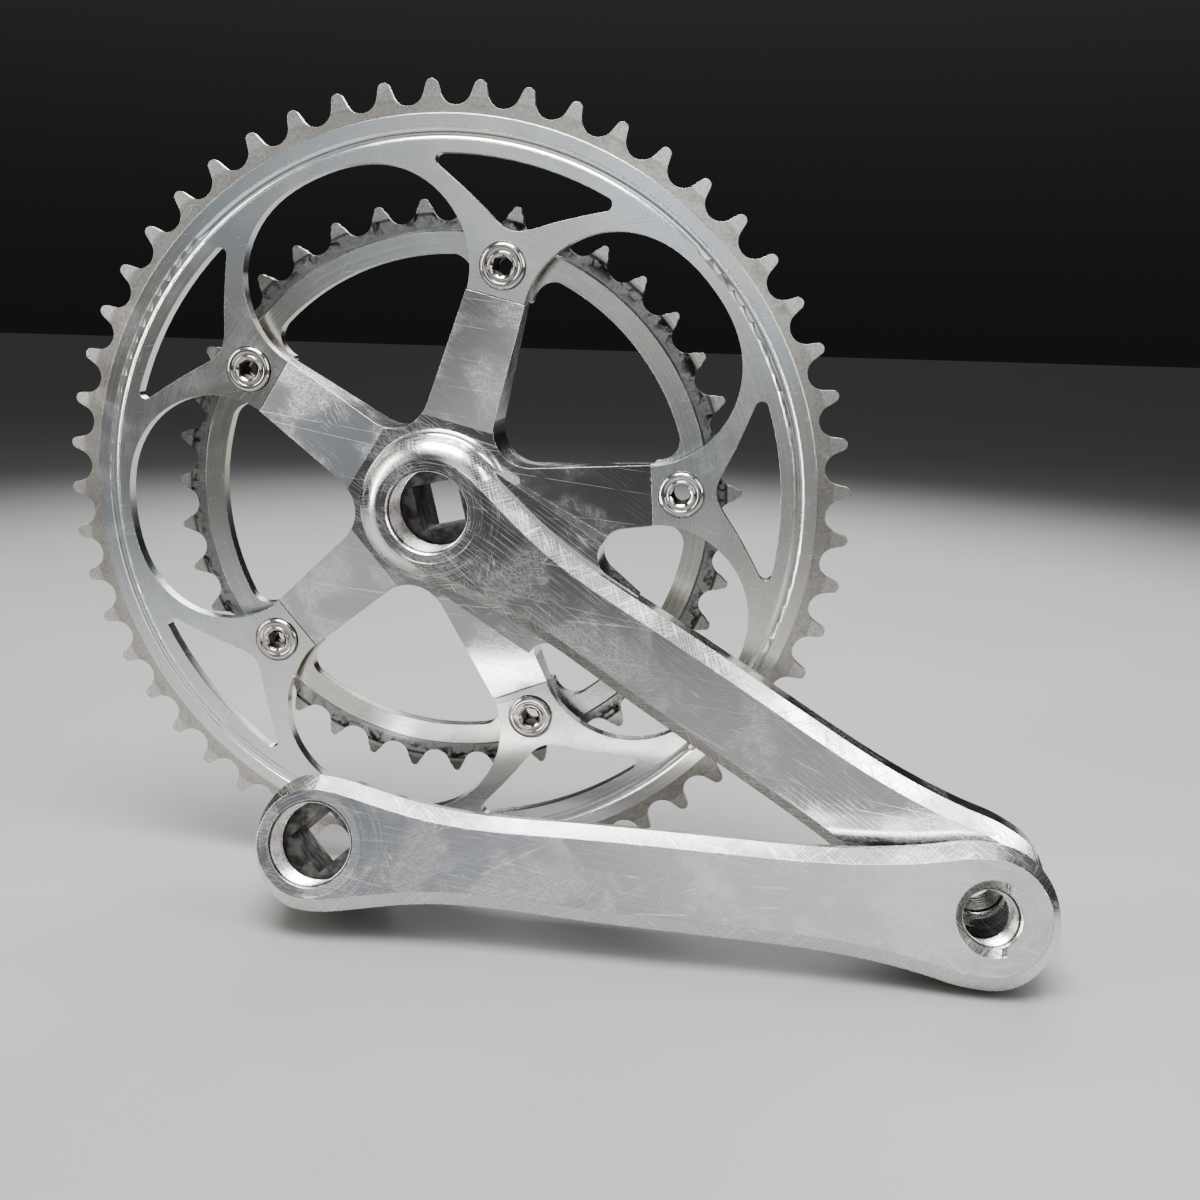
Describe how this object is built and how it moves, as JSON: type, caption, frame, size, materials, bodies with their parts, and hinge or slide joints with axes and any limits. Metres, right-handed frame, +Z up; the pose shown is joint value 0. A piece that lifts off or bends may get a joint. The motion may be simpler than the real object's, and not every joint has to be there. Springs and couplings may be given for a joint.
{
  "type": "bicycle crankset",
  "caption": "Polished alloy road crankset: drive-side crank with its spider, chainrings and their bolts, and the loose left crank standing in front.",
  "frame": {"origin": "on the crank axis, in the plane of the outer chainring's front face", "axes": "+Y along the crank axis towards the bicycle's frame, +Z up and +X along the table to the right as the picture shows it"},
  "size_m": [0.2736, 0.0621, 0.2193],
  "materials": {
    "arm_alloy": "polished, worn",
    "outer_ring_alloy": "satin, worn teeth",
    "inner_ring_alloy": "dull, grimy tooth roots",
    "bolt_chrome": "bright plate",
    "nut_steel": "plated, dulled",
    "pin_steel": "bright steel"
  },
  "bodies": {
    "drive_side": {"right_crank_arm": "arm_alloy", "outer_chainring": "outer_ring_alloy", "inner_chainring": "inner_ring_alloy", "chain_drop_pin": "pin_steel", "chainring_bolt_1": "bolt_chrome", "chainring_nut_1": "nut_steel", "chainring_bolt_2": "bolt_chrome", "chainring_nut_2": "nut_steel", "chainring_bolt_3": "bolt_chrome", "chainring_nut_3": "nut_steel", "chainring_bolt_4": "bolt_chrome", "chainring_nut_4": "nut_steel", "chainring_bolt_5": "bolt_chrome", "chainring_nut_5": "nut_steel"},
    "left_crank": {"left_crank_arm": "arm_alloy"}
  },
  "joints": [
    {"name": "left_crank_slide", "type": "slide", "parent": "drive_side", "child": "left_crank", "axis": [0, -1, 0], "range_m": [0, 0.15]}
  ]
}
